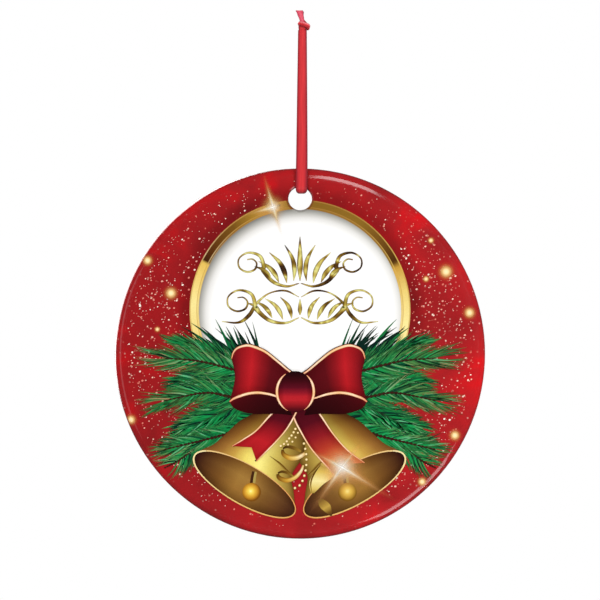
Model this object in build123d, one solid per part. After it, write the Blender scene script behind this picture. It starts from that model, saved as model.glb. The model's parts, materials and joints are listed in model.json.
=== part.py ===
from build123d import *
from math import radians, tan
import os

# Round printed ceramic ornament, hanging on a narrow satin ribbon loop. Millimetres.
# The origin is the hanging point: the underside of the knot, at the top of the loop.
# +Z is up and the printed face looks towards -Y.

# Ceramic blank
disc_diameter = 76.0
disc_thickness = 3.0
rim_radius = 1.4  # rounding of the rim, front and back
glaze_thickness = 0.15
hole_diameter = 4.8
hole_edge_radius = 0.5
hole_wall = 3.8  # ceramic between the hole and the rim

# Satin ribbon
ribbon_width = 2.4
ribbon_thickness = 0.3
pinched_width = 1.7  # where the two legs gather under the knot
pinch_gap = 0.4  # between the two legs at the knot
face_clearance = 0.3  # ribbon to glaze, on each face of the disc
bight_depth = 1.1  # from the top of the hole down to the ribbon's top side
loop_drop = 32.2  # knot's underside to the top of the hole
swing_reach = 9.5  # the legs run parallel this far above the hole's centre

# Knot and cut ends
knot_width = 2.4
knot_depth = 2.0
knot_height = 1.8
knot_rounding = 0.5
tail_width = 1.4
neck_width = 0.8  # each tail where it comes out of the knot
tail_length = 2.2
tail_gap = 0.3  # between the two tails
tail_splay = 8.0  # degrees, each tail away from the other

disc_radius = disc_diameter / 2
hole_radius = hole_diameter / 2
hole_z = -(loop_drop + hole_radius)
disc_z = hole_z - (disc_radius - hole_wall - hole_radius)
leg_y = disc_thickness / 2 + face_clearance + ribbon_thickness / 2
pinch_y = (pinch_gap + ribbon_thickness) / 2
bight_z = hole_z + hole_radius - bight_depth - ribbon_thickness / 2


def rounded_disc(radius, thickness, rounding):
    """A disc about the Y axis, through the disc's centre, with a rounded rim."""
    disc = Cylinder(radius, thickness, rotation=(90, 0, 0))
    disc = fillet(disc.edges().filter_by(GeomType.CIRCLE), rounding)
    return Pos(0, 0, disc_z) * disc


def hole_through(radius, length, mouth_rounding):
    """The solid that a hole with rounded mouths takes away."""
    mouth_radius = radius + mouth_rounding
    plug = Cylinder(mouth_radius, length, rotation=(90, 0, 0))
    throat = Torus(mouth_radius, mouth_rounding, rotation=(90, 0, 0))
    wall = Cylinder(mouth_radius, length - 2 * mouth_rounding, rotation=(90, 0, 0))
    wall -= Cylinder(radius, length - 2 * mouth_rounding, rotation=(90, 0, 0))
    mouth_y = length / 2 - mouth_rounding
    plug = plug - wall - Pos(0, mouth_y, 0) * throat - Pos(0, -mouth_y, 0) * throat
    return Pos(0, 0, hole_z) * plug


def glazed_shape():
    disc = rounded_disc(disc_radius, disc_thickness, rim_radius)
    return disc - hole_through(hole_radius, disc_thickness, hole_edge_radius)


def ceramic_body():
    disc = rounded_disc(
        disc_radius - glaze_thickness,
        disc_thickness - 2 * glaze_thickness,
        rim_radius - glaze_thickness,
    )
    return disc - hole_through(
        hole_radius + glaze_thickness,
        disc_thickness - 2 * glaze_thickness,
        hole_edge_radius - glaze_thickness,
    )


def glaze_half(side):
    """The glaze on one side of the disc's middle plane: -1 is the printed front, 1 the back."""
    half = Box(2 * disc_diameter, disc_thickness, 2 * disc_diameter)
    half = Pos(0, side * disc_thickness / 2, disc_z) * half
    return (glazed_shape() - ceramic_body()) & half


def ribbon_route():
    """The ribbon's middle line: down the front, through the hole and up the back."""
    return [
        (0, -pinch_y, 0),
        (0, -leg_y, hole_z + swing_reach),
        (0, -leg_y, bight_z),
        (0, leg_y, bight_z),
        (0, leg_y, hole_z + swing_reach),
        (0, pinch_y, 0),
    ]


def bend_radii(route):
    """Each bend as large as its two runs allow."""
    points = [Vector(*point) for point in route]
    radii = []
    for before, corner, after in zip(points, points[1:], points[2:]):
        turn = (corner - before).get_angle(after - corner)
        shorter = min((corner - before).length, (after - corner).length)
        radii.append(0.45 * shorter / tan(radians(turn) / 2))
    return radii


def ribbon_loop():
    route = ribbon_route()
    radii = bend_radii(route)
    line = FilletPolyline(*route, radius=radii)
    start = Plane(origin=line @ 0, x_dir=(1, 0, 0), z_dir=line % 0)
    ribbon = sweep(start * Rectangle(ribbon_width, ribbon_thickness), path=line)
    print("ribbon bends", [round(radius, 2) for radius in radii])
    print("ribbon length", round(line.length, 2))
    print("ribbon volume", round(ribbon.volume, 2))
    print("section times length", round(ribbon_width * ribbon_thickness * line.length, 2))
    half_full = ribbon_width / 2
    half_pinched = pinched_width / 2
    low_z = bight_z - ribbon_thickness
    taper = Polyline(
        (-half_full, low_z),
        (half_full, low_z),
        (half_full, hole_z),
        (half_pinched, 0),
        (-half_pinched, 0),
        (-half_full, hole_z),
        close=True,
    )
    taper = extrude(Plane.XZ * make_face(taper), disc_thickness + ribbon_width, both=True)
    return ribbon & taper


def ribbon_knot():
    knot = Pos(0, 0, knot_height / 2) * Box(knot_width, knot_depth, knot_height)
    upright = knot.edges().filter_by(Axis.Z)
    return fillet(upright, knot_rounding)


def ribbon_tail(side):
    """One cut end, standing up from the knot. The sides are -1 in front and 1 behind."""
    outline = Polyline(
        (-neck_width / 2, 0),
        (neck_width / 2, 0),
        (tail_width / 2, tail_length),
        (-tail_width / 2, tail_length),
        close=True,
    )
    tail = extrude(Plane.XZ * make_face(outline), ribbon_thickness / 2, both=True)
    tail = Rot(-side * tail_splay, 0, 0) * tail
    tail_y = side * (tail_gap + ribbon_thickness) / 2
    knot_top = Pos(0, 0, knot_height + tail_length) * Box(
        2 * knot_width, 2 * knot_depth + tail_length, 2 * tail_length
    )
    sunk = Pos(0, tail_y, knot_height) * tail
    return sunk & knot_top


pieces = {
    "ceramic_disc": ceramic_body(),
    "front_print_glaze": glaze_half(-1),
    "back_glaze": glaze_half(1),
    "ribbon_loop": ribbon_loop(),
    "ribbon_knot": ribbon_knot(),
    "ribbon_tail_front": ribbon_tail(-1),
    "ribbon_tail_back": ribbon_tail(1),
}

os.makedirs("parts", exist_ok=True)
for name, piece in pieces.items():
    export_step(piece, f"parts/{name}.step")
print("hole centre z", round(hole_z, 3), " disc centre z", round(disc_z, 3))
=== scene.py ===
import json
import math
import random

import bpy
from mathutils import Matrix, Vector


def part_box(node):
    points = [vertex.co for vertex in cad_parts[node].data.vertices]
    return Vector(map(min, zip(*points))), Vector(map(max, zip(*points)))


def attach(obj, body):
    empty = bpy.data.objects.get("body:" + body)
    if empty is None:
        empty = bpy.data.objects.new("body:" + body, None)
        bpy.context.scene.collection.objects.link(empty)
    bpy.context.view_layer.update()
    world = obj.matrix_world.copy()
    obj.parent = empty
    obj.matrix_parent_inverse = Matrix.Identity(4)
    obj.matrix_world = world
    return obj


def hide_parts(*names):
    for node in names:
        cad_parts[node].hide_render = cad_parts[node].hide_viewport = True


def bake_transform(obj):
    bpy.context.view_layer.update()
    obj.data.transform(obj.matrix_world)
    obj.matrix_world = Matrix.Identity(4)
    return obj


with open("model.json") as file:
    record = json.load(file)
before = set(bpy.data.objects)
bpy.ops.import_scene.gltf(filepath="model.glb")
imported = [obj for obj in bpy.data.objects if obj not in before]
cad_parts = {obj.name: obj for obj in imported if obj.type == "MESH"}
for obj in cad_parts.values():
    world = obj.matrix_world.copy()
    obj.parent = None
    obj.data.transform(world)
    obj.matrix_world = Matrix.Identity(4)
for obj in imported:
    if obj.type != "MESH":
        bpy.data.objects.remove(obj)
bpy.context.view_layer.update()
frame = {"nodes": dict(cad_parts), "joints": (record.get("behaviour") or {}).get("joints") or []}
mm = 0.001

# Places that come from the frame: the disc's middle and its printed face, and the hole.
# Art on the face is set in millimetres from the disc's middle: u to the right, w up.
faceLow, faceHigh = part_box("front_print_glaze")
swing = next(joint for joint in frame["joints"] if joint["name"] == "disc_swing")
disc = {
    "middle": Vector((0, 0, (faceLow.z + faceHigh.z) / 2)),
    "radius": (faceHigh.z - faceLow.z) / 2 / mm,
    "faceY": faceLow.y / mm,
    "rimRounding": 1.4,
    "holeW": (swing["pos_m"][2] - (faceLow.z + faceHigh.z) / 2) / mm,
    "holeRadius": 2.4,
    "holeMouth": 0.5,
}
inkStep = 0.01  # height of one layer of ink
inkDepth = 0.008  # thickness of a layer, a little less, so that two never share a face


def report(words):
    print("stage:", words)


def only(*pieces):  # selects these pieces and makes the first one active
    bpy.ops.object.select_all(action="DESELECT")
    for piece in pieces:
        piece.select_set(True)
    bpy.context.view_layer.objects.active = pieces[0]


def applyModifiers(piece):
    only(piece)
    for modifier in list(piece.modifiers):
        bpy.ops.object.modifier_apply(modifier=modifier.name)


def joined(pieces, name):
    only(*pieces)
    if len(pieces) > 1:
        bpy.ops.object.join()
    pieces[0].name = name
    return pieces[0]


def addObject(name, data):
    made = bpy.data.objects.new(name, data)
    bpy.context.scene.collection.objects.link(made)
    return made


def finishPiece(piece, name, material, body):
    piece.name = name
    piece.data.name = name
    piece.data.materials.clear()
    piece.data.materials.append(material)
    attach(piece, body)
    return piece


# Materials
def linear(hexColour):  # sRGB hex to the linear colour that a socket takes
    parts = [int(hexColour[i:i + 2], 16) / 255 for i in (1, 3, 5)]
    return [c / 12.92 if c < 0.04045 else ((c + 0.055) / 1.055) ** 2.4 for c in parts] + [1]


def addNode(tree, kind, inputs=(), stops=(), **settings):
    # Inputs go by name, or in their own order as a list. A node given as an input stands for its first
    # output in use. A ramp's stops are places, each with a hex colour or a grey's number.
    made = tree.nodes.new("ShaderNode" + kind)
    for name, value in settings.items():
        setattr(made, name, value)
    for name, value in inputs.items() if isinstance(inputs, dict) else enumerate(inputs):
        if isinstance(value, bpy.types.Node):
            value = next(output for output in value.outputs if output.enabled)
        if isinstance(value, bpy.types.NodeSocket):
            tree.links.new(value, made.inputs[name])
        else:
            made.inputs[name].default_value = value
    if stops:
        elements = made.color_ramp.elements
        while len(elements) < len(stops):
            elements.new(1)
        for element, (place, colour) in zip(elements, stops):
            element.position = place
        for element, (place, colour) in zip(elements, stops):
            element.color = linear(colour) if isinstance(colour, str) else [colour] * 3 + [1]
    return made


def newMaterial(name, **shaderValues):
    material = bpy.data.materials.new(name)
    material.use_nodes = True
    tree = material.node_tree
    shader = tree.nodes["Principled BSDF"]
    for key, value in shaderValues.items():
        shader.inputs[key.replace("_", " ")].default_value = value
    return material, tree, shader


def faceCoordinates(tree, shift=(0, 0, 0)):  # Object coordinates in millimetres from the disc's middle
    coordinates = addNode(tree, "TexCoord")
    return addNode(tree, "Mapping", {"Vector": coordinates.outputs["Object"], "Scale": (1 / mm,) * 3,
                                     "Location": Vector(shift) - disc["middle"] / mm})


def awayFrom(tree, u, w):  # distance over the face from one point of it, in millimetres
    flat = addNode(tree, "VectorMath", [faceCoordinates(tree), (1, 0, 1)], operation="MULTIPLY")
    return addNode(tree, "VectorMath", [flat, (u, 0, w)], operation="DISTANCE")


def uvSplit(tree):
    coordinates = addNode(tree, "TexCoord")
    return addNode(tree, "SeparateXYZ", [coordinates.outputs["UV"]])


# Dye print under a clear polyester coat: even, saturated colour, with a wet-looking gloss on top.
coat = {"Roughness": 0.5, "Specular_IOR_Level": 0.0, "Coat_Weight": 1.0, "Coat_Roughness": 0.1,
        "Coat_IOR": 1.5}
dotSize = 0.18  # the fine dots of a dye print, in mm, a little coarser than real so that they show


def printInk(name, colourOf, grain=0.05):
    # colourOf(tree) returns the node with the ink's colour, and grain is how far the dots vary it
    material, tree, shader = newMaterial(name, **coat)
    dots = addNode(tree, "TexNoise", {"Vector": faceCoordinates(tree), "Scale": 1 / dotSize, "Detail": 2.0})
    strength = addNode(tree, "MapRange", [dots, 0.3, 0.7, 1 - grain, 1 + grain])
    tinted = addNode(tree, "VectorMath", [colourOf(tree), strength], operation="MULTIPLY")
    tree.links.new(tinted.outputs["Vector"], shader.inputs["Base Color"])
    return material


def bandedInk(name, stops, along="X", grain=0.05, shade=None):
    # colour bands across a shape (its UV's X) or down it (Y), and a second set the other way that darkens it
    def colourOf(tree):
        split = uvSplit(tree)
        bands = addNode(tree, "ValToRGB", [split.outputs[along]], stops)
        if not shade:
            return bands
        dark = addNode(tree, "ValToRGB", [split.outputs["Y" if along == "X" else "X"]], shade)
        return addNode(tree, "VectorMath", [bands, dark], operation="MULTIPLY")
    return printInk(name, colourOf, grain)


def ballInk(name, centre, stops):  # round shading about a point of the shape's own UV
    def colourOf(tree):
        coordinates = addNode(tree, "TexCoord")
        away = addNode(tree, "VectorMath", [coordinates.outputs["UV"], (*centre, 0)], operation="DISTANCE")
        return addNode(tree, "ValToRGB", [away], stops)
    return printInk(name, colourOf)


# Shapes of ink
def onFace(u, w, layer):  # a point on the printed face, following its rounded rim and never past it
    reach = math.hypot(u, w)
    if reach > disc["radius"] - 0.1:
        u, w = [side * (disc["radius"] - 0.1) / reach for side in (u, w)]
    start = disc["radius"] - disc["rimRounding"]
    over = min(max(reach - start, 0), disc["rimRounding"])
    drop = disc["rimRounding"] - math.sqrt(disc["rimRounding"] ** 2 - over ** 2)
    y = disc["faceY"] - layer * inkStep + drop
    return Vector((u * mm, y * mm, disc["middle"].z + w * mm))


def smoothLine(points, count):
    # a smooth line through given points, as count evenly spaced points; a third number
    # in a point, such as a stroke's width, is carried along
    points = [Vector(point).resized(3) for point in points]
    ends = [2 * points[0] - points[1]] + points + [2 * points[-1] - points[-2]]
    dense = []
    for a, b, c, d in zip(ends, ends[1:], ends[2:], ends[3:]):
        for i in range(16):
            t = i / 16
            dense.append(0.5 * (2 * b + (c - a) * t + (2 * a - 5 * b + 4 * c - d) * t ** 2
                                + (3 * b - a - 3 * c + d) * t ** 3))
    dense.append(points[-1])
    lengths = [0]
    for p, q in zip(dense, dense[1:]):
        lengths.append(lengths[-1] + (q - p).to_2d().length)
    line = []
    i = 0
    for k in range(count):
        wanted = lengths[-1] * k / (count - 1)
        while i < len(dense) - 2 and lengths[i + 1] < wanted:
            i += 1
        span = max(lengths[i + 1] - lengths[i], 1e-9)
        line.append(dense[i].lerp(dense[i + 1], min(max((wanted - lengths[i]) / span, 0), 1)))
    return line


def mirrored(points, middleU=0.0, flip=True):
    return [(2 * middleU - point[0], *point[1:]) for point in points] if flip else points


def ovalPoints(centre, radii, start, end, count, tilt=0):  # points along an oval, for a stroke or an edge
    turn = Matrix.Rotation(math.radians(tilt), 2)
    points = []
    for i in range(count):
        angle = math.radians(start + (end - start) * i / (count - 1))
        u, w = turn @ Vector((radii[0] * math.cos(angle), radii[1] * math.sin(angle)))
        points.append((centre[0] + u, centre[1] + w))
    return points


def withWidths(points, widths):  # gives a stroke's points their widths, spread evenly
    sized = []
    for i, point in enumerate(points):
        place = i / (len(points) - 1) * (len(widths) - 1)
        k = min(int(place), len(widths) - 2)
        sized.append((point[0], point[1], widths[k] + (widths[k + 1] - widths[k]) * (place - k)))
    return sized


def shapedGrid(columns, rows, placeAt):
    # a grid whose corners go where placeAt says, by how far across they are (0 to 1) and by row
    bpy.ops.mesh.primitive_grid_add(x_subdivisions=columns, y_subdivisions=rows, size=1)
    piece = bpy.context.active_object
    for vertex in piece.data.vertices:
        vertex.co = placeAt(vertex.co.x + 0.5, round((vertex.co.y + 0.5) * rows))
    piece.data.update()
    return piece


def faceForwards(piece):
    if sum(face.normal.y * face.area for face in piece.data.polygons) > 0:
        piece.data.flip_normals()


def settleInk(piece):  # faces the ink forwards and gives it its thickness
    only(piece)
    faceForwards(piece)
    solid = piece.modifiers.new("ink", "SOLIDIFY")
    solid.thickness = inkDepth * mm
    solid.offset = -1
    applyModifiers(piece)
    return piece


def inkSheet(left, right, layer, rows=24, columns=8):
    # an area between two edges: its UV runs across from left to right, and down the edges
    left, right = [smoothLine(edge, rows + 1) for edge in (left, right)]

    def placeAt(across, row):
        u, w, _ = left[row].lerp(right[row], across)
        return onFace(u, w, layer)
    return settleInk(shapedGrid(columns, rows, placeAt))


def inkStroke(points, layer, rows=None):  # a line of ink; each point's third number is its width there
    rows = rows or 8 * len(points)
    line = smoothLine(points, rows + 1)

    def placeAt(across, row):
        here = line[row]
        ahead = (line[min(row + 1, rows)] - line[max(row - 1, 0)]).to_2d().normalized()
        size = here.z * (across - 0.5)
        return onFace(here.x + ahead.y * size, here.y - ahead.x * size, layer)
    return settleInk(shapedGrid(2, rows, placeAt))


def inkOval(centre, radii, layer, sides=72):
    bpy.ops.mesh.primitive_circle_add(vertices=sides, radius=1, fill_type="TRIFAN")
    piece = bpy.context.active_object
    for vertex in piece.data.vertices:
        vertex.co = onFace(centre[0] + vertex.co.x * radii[0], centre[1] + vertex.co.y * radii[1], layer)
    piece.data.update()
    return settleInk(piece)


def inkPatches(name, points, faces, uvs):  # many small patches of ink as one mesh
    mesh = bpy.data.meshes.new(name)
    mesh.from_pydata(points, [], faces)
    layer = mesh.uv_layers.new(name="UVMap")
    for loop, uv in zip(layer.data, uvs):
        loop.uv = uv
    return settleInk(addObject(name, mesh))


def cutHole(piece):  # leaves the ink off round the hole and its rounded mouth
    bpy.ops.mesh.primitive_cylinder_add(
        vertices=64, radius=(disc["holeRadius"] + disc["holeMouth"] - 0.02) * mm, depth=4 * mm,
        location=onFace(0, disc["holeW"], 0), rotation=(math.pi / 2, 0, 0))
    cutter = bpy.context.active_object
    cut = piece.modifiers.new("hole", "BOOLEAN")
    cut.operation = "DIFFERENCE"
    cut.object = cutter
    applyModifiers(piece)
    bpy.data.objects.remove(cutter)


def inkPiece(piece, name, material):
    return finishPiece(piece, name, material, "disc")


# Glazed blank
ringArt = {"centre": (0.0, 8.9), "outer": 22.6, "inner": 20.7}
ground = {
    "clouds": 13.0,  # size of the smoky patches, mm
    "reds": [(0.28, "#8C1A1C"), (0.42, "#A01C20"), (0.56, "#AE1C20"), (0.70, "#CE141A")],
    "fleckSize": 1.15,
    "fleckColour": "#F6C9B8",
    "ringShadow": 4.5,  # width of the soft shadow round the ring
    "rimSag": 0.064,  # how the coat falls away towards the rim, per mm, from this far out
    "sagFrom": 34.8,
}


def groundColour(tree):
    # smoky red with fine dust in it, darker round the ring and to the left
    place = faceCoordinates(tree)
    clouds = addNode(tree, "TexNoise", {
        "Vector": faceCoordinates(tree, shift=(4, 0, 9)), "Scale": 1 / ground["clouds"], "Detail": 3.0,
        "Roughness": 0.55, "Distortion": 0.6})
    red = addNode(tree, "ValToRGB", [clouds], ground["reds"])
    dust = addNode(tree, "TexVoronoi", {"Vector": place, "Scale": 1 / ground["fleckSize"]})
    dot = addNode(tree, "MapRange", [dust, 0.10, 0.20, 1.0, 0.0])
    dotShade = addNode(tree, "SeparateColor", [dust.outputs["Color"]])
    chosen = addNode(tree, "MapRange", [dotShade, 0.45, 1.0, 0.0, 0.6])
    places = addNode(tree, "SeparateXYZ", [place])
    sideways = addNode(tree, "Math", [places.outputs["X"]], operation="ABSOLUTE")
    sides = addNode(tree, "MapRange", [sideways, 14.0, 26.0, 0.15, 1.0])
    amount = addNode(tree, "Math", [dot, chosen], operation="MULTIPLY")
    amount = addNode(tree, "Math", [amount, sides], operation="MULTIPLY")
    colour = addNode(tree, "Mix", {0: amount, 6: red, 7: linear(ground["fleckColour"])}, data_type="RGBA")
    shadow = addNode(tree, "MapRange", [awayFrom(tree, *ringArt["centre"]), ringArt["outer"],
                                        ringArt["outer"] + ground["ringShadow"], 0.62, 1.0],
                     interpolation_type="SMOOTHERSTEP")
    lean = addNode(tree, "MapRange", [places.outputs["X"], -38.0, 38.0, 0.78, 1.12])
    low = addNode(tree, "MapRange", [places.outputs["Z"], -38.0, -14.0, 1.18, 0.98])
    for strength in (lean, low, shadow):
        colour = addNode(tree, "VectorMath", [colour, strength], operation="MULTIPLY")
    # the ring and panel are repeated, darker, where the glaze dips into the hole, and the hole's wall of
    # bare white glaze is grey: painted shade in the hole's mouth
    for centre, reach, shade in ((ringArt["centre"], ringArt["outer"], "#7A4A1E"),
                                 (ringArt["centre"], ringArt["inner"], "#8C8A84"),
                                 ((0, disc["holeW"]), disc["holeRadius"] + 0.004, "#9A928A")):
        inside = addNode(tree, "Math", [awayFrom(tree, *centre), reach], operation="LESS_THAN")
        colour = addNode(tree, "Mix", {0: inside, 6: colour, 7: linear(shade)}, data_type="RGBA")
    return colour


def glazeShell(node, name, material):
    # the frame's own glaze, merged and given soft normals, so that its rim shines evenly
    piece = addObject(name, frame["nodes"][node].data.copy())
    only(piece)
    if piece.data.has_custom_normals:
        bpy.ops.mesh.customdata_custom_splitnormals_clear()
    bpy.ops.object.mode_set(mode="EDIT")
    bpy.ops.mesh.select_all(action="SELECT")
    bpy.ops.mesh.remove_doubles(threshold=0.002 * mm)
    bpy.ops.object.mode_set(mode="OBJECT")
    bpy.ops.object.shade_smooth_by_angle(angle=math.radians(35))
    normals = piece.modifiers.new("normals", "WEIGHTED_NORMAL")
    normals.keep_sharp = True
    applyModifiers(piece)
    finishPiece(piece, name, material, "disc")
    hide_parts(node)


def whiteGlaze():
    # Glossy white earthenware glaze: slightly warm, with a faint orange-peel ripple from the firing.
    material, tree, shader = newMaterial("white earthenware glaze", **coat)
    place = faceCoordinates(tree)
    noise = addNode(tree, "TexNoise", {"Vector": place, "Scale": 1 / 9.0, "Detail": 2.0})
    tint = addNode(tree, "ValToRGB", [noise], [(0.35, "#F5F4F0"), (0.65, "#F8F7F4")])
    tree.links.new(tint.outputs["Color"], shader.inputs["Base Color"])
    ripple = addNode(tree, "TexNoise", {"Vector": place, "Scale": 1 / 1.6, "Detail": 1.0})
    bump = addNode(tree, "Bump", {"Height": ripple, "Strength": 0.03, "Distance": 0.05 * mm})
    for socket in ("Normal", "Coat Normal"):
        tree.links.new(bump.outputs["Normal"], shader.inputs[socket])
    return material


def earthenware():
    # Fired white clay body: chalky and matt, with fine grog specks.
    material, tree, shader = newMaterial("fired white earthenware", Roughness=0.85)
    specks = addNode(tree, "TexNoise", {"Vector": faceCoordinates(tree), "Scale": 1 / 0.4, "Detail": 3.0})
    tint = addNode(tree, "ValToRGB", [specks], [(0.3, "#DAD3C6"), (0.55, "#EDE8DF"), (0.7, "#F2EEE6")])
    tree.links.new(tint.outputs["Color"], shader.inputs["Base Color"])
    return material


def sagCoat(material):
    # the coat thins and falls away near the rim, so its highlights spread wider than the edge's own rounding
    tree = material.node_tree
    past = addNode(tree, "Math", [awayFrom(tree, 0, 0), ground["sagFrom"]], operation="SUBTRACT")
    past = addNode(tree, "Math", [past, 0.0], operation="MAXIMUM")
    squared = addNode(tree, "Math", [past, past], operation="MULTIPLY")
    height = addNode(tree, "Math", [squared, -ground["rimSag"]], operation="MULTIPLY")
    bump = addNode(tree, "Bump", {"Height": height, "Strength": 1.0, "Distance": mm})
    tree.links.new(bump.outputs["Normal"], tree.nodes["Principled BSDF"].inputs["Coat Normal"])
    return material


groundInk = sagCoat(printInk("dye print on glaze, smoky red", groundColour))
glazeShell("front_print_glaze", "frontPrintGlaze", groundInk)
glazeShell("back_glaze", "backGlaze", whiteGlaze())
body = frame["nodes"]["ceramic_disc"]
body.data.materials.clear()
body.data.materials.append(earthenware())
report("glazed blank")

# Panel and ring
panelArt = {
    "lightAt": (0.6, 7.9),  # the soft inner shadow is deepest away from here
    "stops": [(0.0, "#FDFCFB"), (0.85, "#FBFAF8"), (0.905, "#E4E2DE"), (0.94, "#BEBCB6"), (0.973, "#94928C"),
              (1.0, "#6E6C66")],
    "reach": 22.0,
}
ringLook = {
    "tone": [(0.0, "#E8C868"), (0.08, "#F2DC88"), (0.16, "#E8CC74"), (0.24, "#F6E294"), (0.308, "#E2BC58"),
             (0.312, "#3E1E08"), (0.335, "#5A300C"), (0.385, "#765018"), (0.42, "#A07828"),
             (0.455, "#D09A50"),
             (0.48, "#94702A"), (0.52, "#866020"), (0.60, "#8A6622"), (0.64, "#76501A"), (0.69, "#4A280A"),
             (0.7, "#C8983C"), (0.74, "#E8CC74"), (0.80, "#F8E69A"), (0.88, "#EED484"), (1.0, "#E8C868")],
    "edge": [(0.0, "#C09040"), (0.2, "#C89A48"), (0.305, "#C89848"), (0.32, "#E8C890"), (0.38, "#C89A50"),
             (0.5, "#A87838"), (0.6, "#B88A44"), (0.69, "#E8C060"), (0.72, "#C89846"), (1.0, "#C09040")],
    "lines": [(0.0, 0.2), (0.06, 0.9), (0.16, 0), (0.7, 0), (0.78, 0.8), (0.86, 0.1), (1.0, 0.5)],
    "span": (-104, -436),  # degrees, round the top from the lower left to the lower right
}


def panelColour(tree):
    away = awayFrom(tree, *panelArt["lightAt"])
    share = addNode(tree, "Math", [away, panelArt["reach"]], operation="DIVIDE")
    ramp = addNode(tree, "ValToRGB", [share], panelArt["stops"])
    ramp.color_ramp.interpolation = "B_SPLINE"
    return ramp


def ringColour(tree):
    # its tone changes on the way round, and two thin lines along it show its moulded edges
    split = uvSplit(tree)
    tone, edge = [addNode(tree, "ValToRGB", [split.outputs["Y"]], ringLook[name])
                  for name in ("tone", "edge")]
    lines = addNode(tree, "ValToRGB", [split.outputs["X"]], ringLook["lines"])
    return addNode(tree, "Mix", {0: lines, 6: tone, 7: edge}, data_type="RGBA")


panel = inkOval(ringArt["centre"], (ringArt["inner"] + 0.1,) * 2, 1, sides=128)
cutHole(panel)
inkPiece(panel, "whitePanel", printInk("dye print, white panel", panelColour, grain=0.01))
outer, inner = [ovalPoints(ringArt["centre"], (ringArt[edge],) * 2, *ringLook["span"], 61)
                for edge in ("outer", "inner")]
ring = inkSheet(outer, inner, 2, rows=180, columns=6)
cutHole(ring)
inkPiece(ring, "goldRing", printInk("dye print, gold ring", ringColour))
report("panel and ring")

# Fir sprigs
fir = {
    "greens": [(0.0, "#04241E"), (0.2, "#084A30"), (0.42, "#0C7038"), (0.7, "#0E8A44"), (0.9, "#1CA056"),
               (1.0, "#58B07A")],
    "tips": [(0.0, "#22361C"), (0.5, "#3A6232"), (0.8, "#5C7A40"), (1.0, "#96865A")],
    "bark": [(0.0, "#24120A"), (0.5, "#3E2216"), (1.0, "#20100A")],
    "root": "#1E1A12",
    "needleWidth": 0.25,
    "profile": [0.55, 1.0, 0.95, 0.7, 0.4, 0.06],  # a needle's width from its root to its point
    "shownStems": 4,  # how many sprigs, those in front, show their stems
    # long: a needle's length at the stem's base and tip; angles: to the stem, above it and below it;
    # dry and dark: how far the needles turn brown and deep green; layer: the first one's layer of ink
    "sprigs": [
        {"stem": [(-7.0, -3.6), (-11.5, -2.0), (-16.0, -0.9),
                  (-19.0, -0.8)], "count": 30, "long": (10.4, 9.6),
         "angles": (-54, -42), "dry": 0.0, "dark": 0.66, "layer": 4, "width": 0.72},
        {"stem": [(-9.0, -6.0), (-15.0, -1.8), (-20.0, 0.8), (-24.5, 2.3)], "count": 202, "long": (6.8, 5.2),
         "angles": (-30, 26), "dry": 0.2, "dark": 0.2, "layer": 5, "width": 0.33},
        {"stem": [(-9.5, -12.6), (-15.0, -12.9), (-19.5, -13.6),
                  (-24.0, -15.0)], "count": 256, "long": (7.0, 4.4),
         "angles": (-42, 40), "dry": 0.1, "dark": 0.3, "layer": 6, "width": 0.39},
        {"stem": [(-9.0, -5.4), (-14.5, -5.2), (-20.0, -5.0),
                  (-25.0, -5.9)], "count": 256, "long": (7.0, 4.4),
         "angles": (-40, 38), "dry": 0.1, "dark": 0.28, "layer": 7, "width": 0.39},
        {"stem": [(-5.0, -10.5), (-9.0, -12.6), (-13.0, -14.8),
                  (-16.5, -16.6)], "count": 148, "long": (5.6, 4.6),
         "angles": (-40, 30), "dry": 0.0, "dark": 0.3, "layer": 7.9, "width": 0.36},
        {"stem": [(-13.5, -19.0), (-17.5, -18.8), (-21.5, -18.4),
                  (-25.5, -18.0)], "count": 148, "long": (5.6, 4.0),
         "angles": (-38, 34), "dry": 0.2, "dark": 0.28, "layer": 8, "width": 0.36},
        {"stem": [(-10.0, -9.0), (-14.5, -11.2), (-18.5, -13.2),
                  (-22.0, -15.0)], "count": 202, "long": (7.2, 5.2),
         "angles": (-34, 30), "dry": 0.05, "dark": 0.04, "layer": 9, "width": 0.33},
        {"stem": [(-10.0, -3.0), (-14.5, -5.0), (-18.5, -6.4),
                  (-22.5, -7.2)], "count": 202, "long": (7.0, 4.8),
         "angles": (-34, 32), "dry": 0.05, "dark": 0.04, "layer": 10, "width": 0.33},
        {"stem": [(-18.5, -17.6), (-22.3, -20.0), (-24.8, -21.8),
                  (-27.8, -23.4)], "count": 162, "long": (4.8, 5.4),
         "angles": (-36, 44), "dry": 0.65, "dark": 0.1, "layer": 11},
        {"stem": [(-11.0, -14.6), (-15.0, -16.4), (-20.7, -17.9),
                  (-27.8, -19.6)], "count": 202, "long": (5.0, 5.6),
         "angles": (-38, 34), "dry": 0.55, "dark": 0.08, "layer": 12},
        {"stem": [(-9.0, -9.8), (-14.7, -8.7), (-19.6, -8.0),
                  (-27.8, -9.6)], "count": 243, "long": (5.2, 7.2),
         "angles": (-36, 40), "dry": 0.85, "dark": 0.08, "layer": 13},
        {"stem": [(-8.5, -4.8), (-13.4, -3.3), (-20.7, -1.5),
                  (-27.6, -0.9)], "count": 243, "long": (5.4, 7.6),
         "angles": (-38, 40), "dry": 0.85, "dark": 0.06, "layer": 14},
    ],
}


def firColour(tree):
    # UV X is a needle's own shade, and Y runs down it from 0 at the stem; above 1 it is a dry needle
    split = uvSplit(tree)
    green, dry = [addNode(tree, "ValToRGB", [split.outputs["X"]], fir[name]) for name in ("greens", "tips")]
    tip = addNode(tree, "MapRange", [split.outputs["Y"], 0.5, 1.7, 0.0, 1.0])
    blade = addNode(tree, "Mix", {0: tip, 6: green, 7: dry}, data_type="RGBA")
    root = addNode(tree, "MapRange", [split.outputs["Y"], 0.02, 0.26, 0.85, 0.0])
    return addNode(tree, "Mix", {0: root, 6: blade, 7: linear(fir["root"])}, data_type="RGBA")


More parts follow.
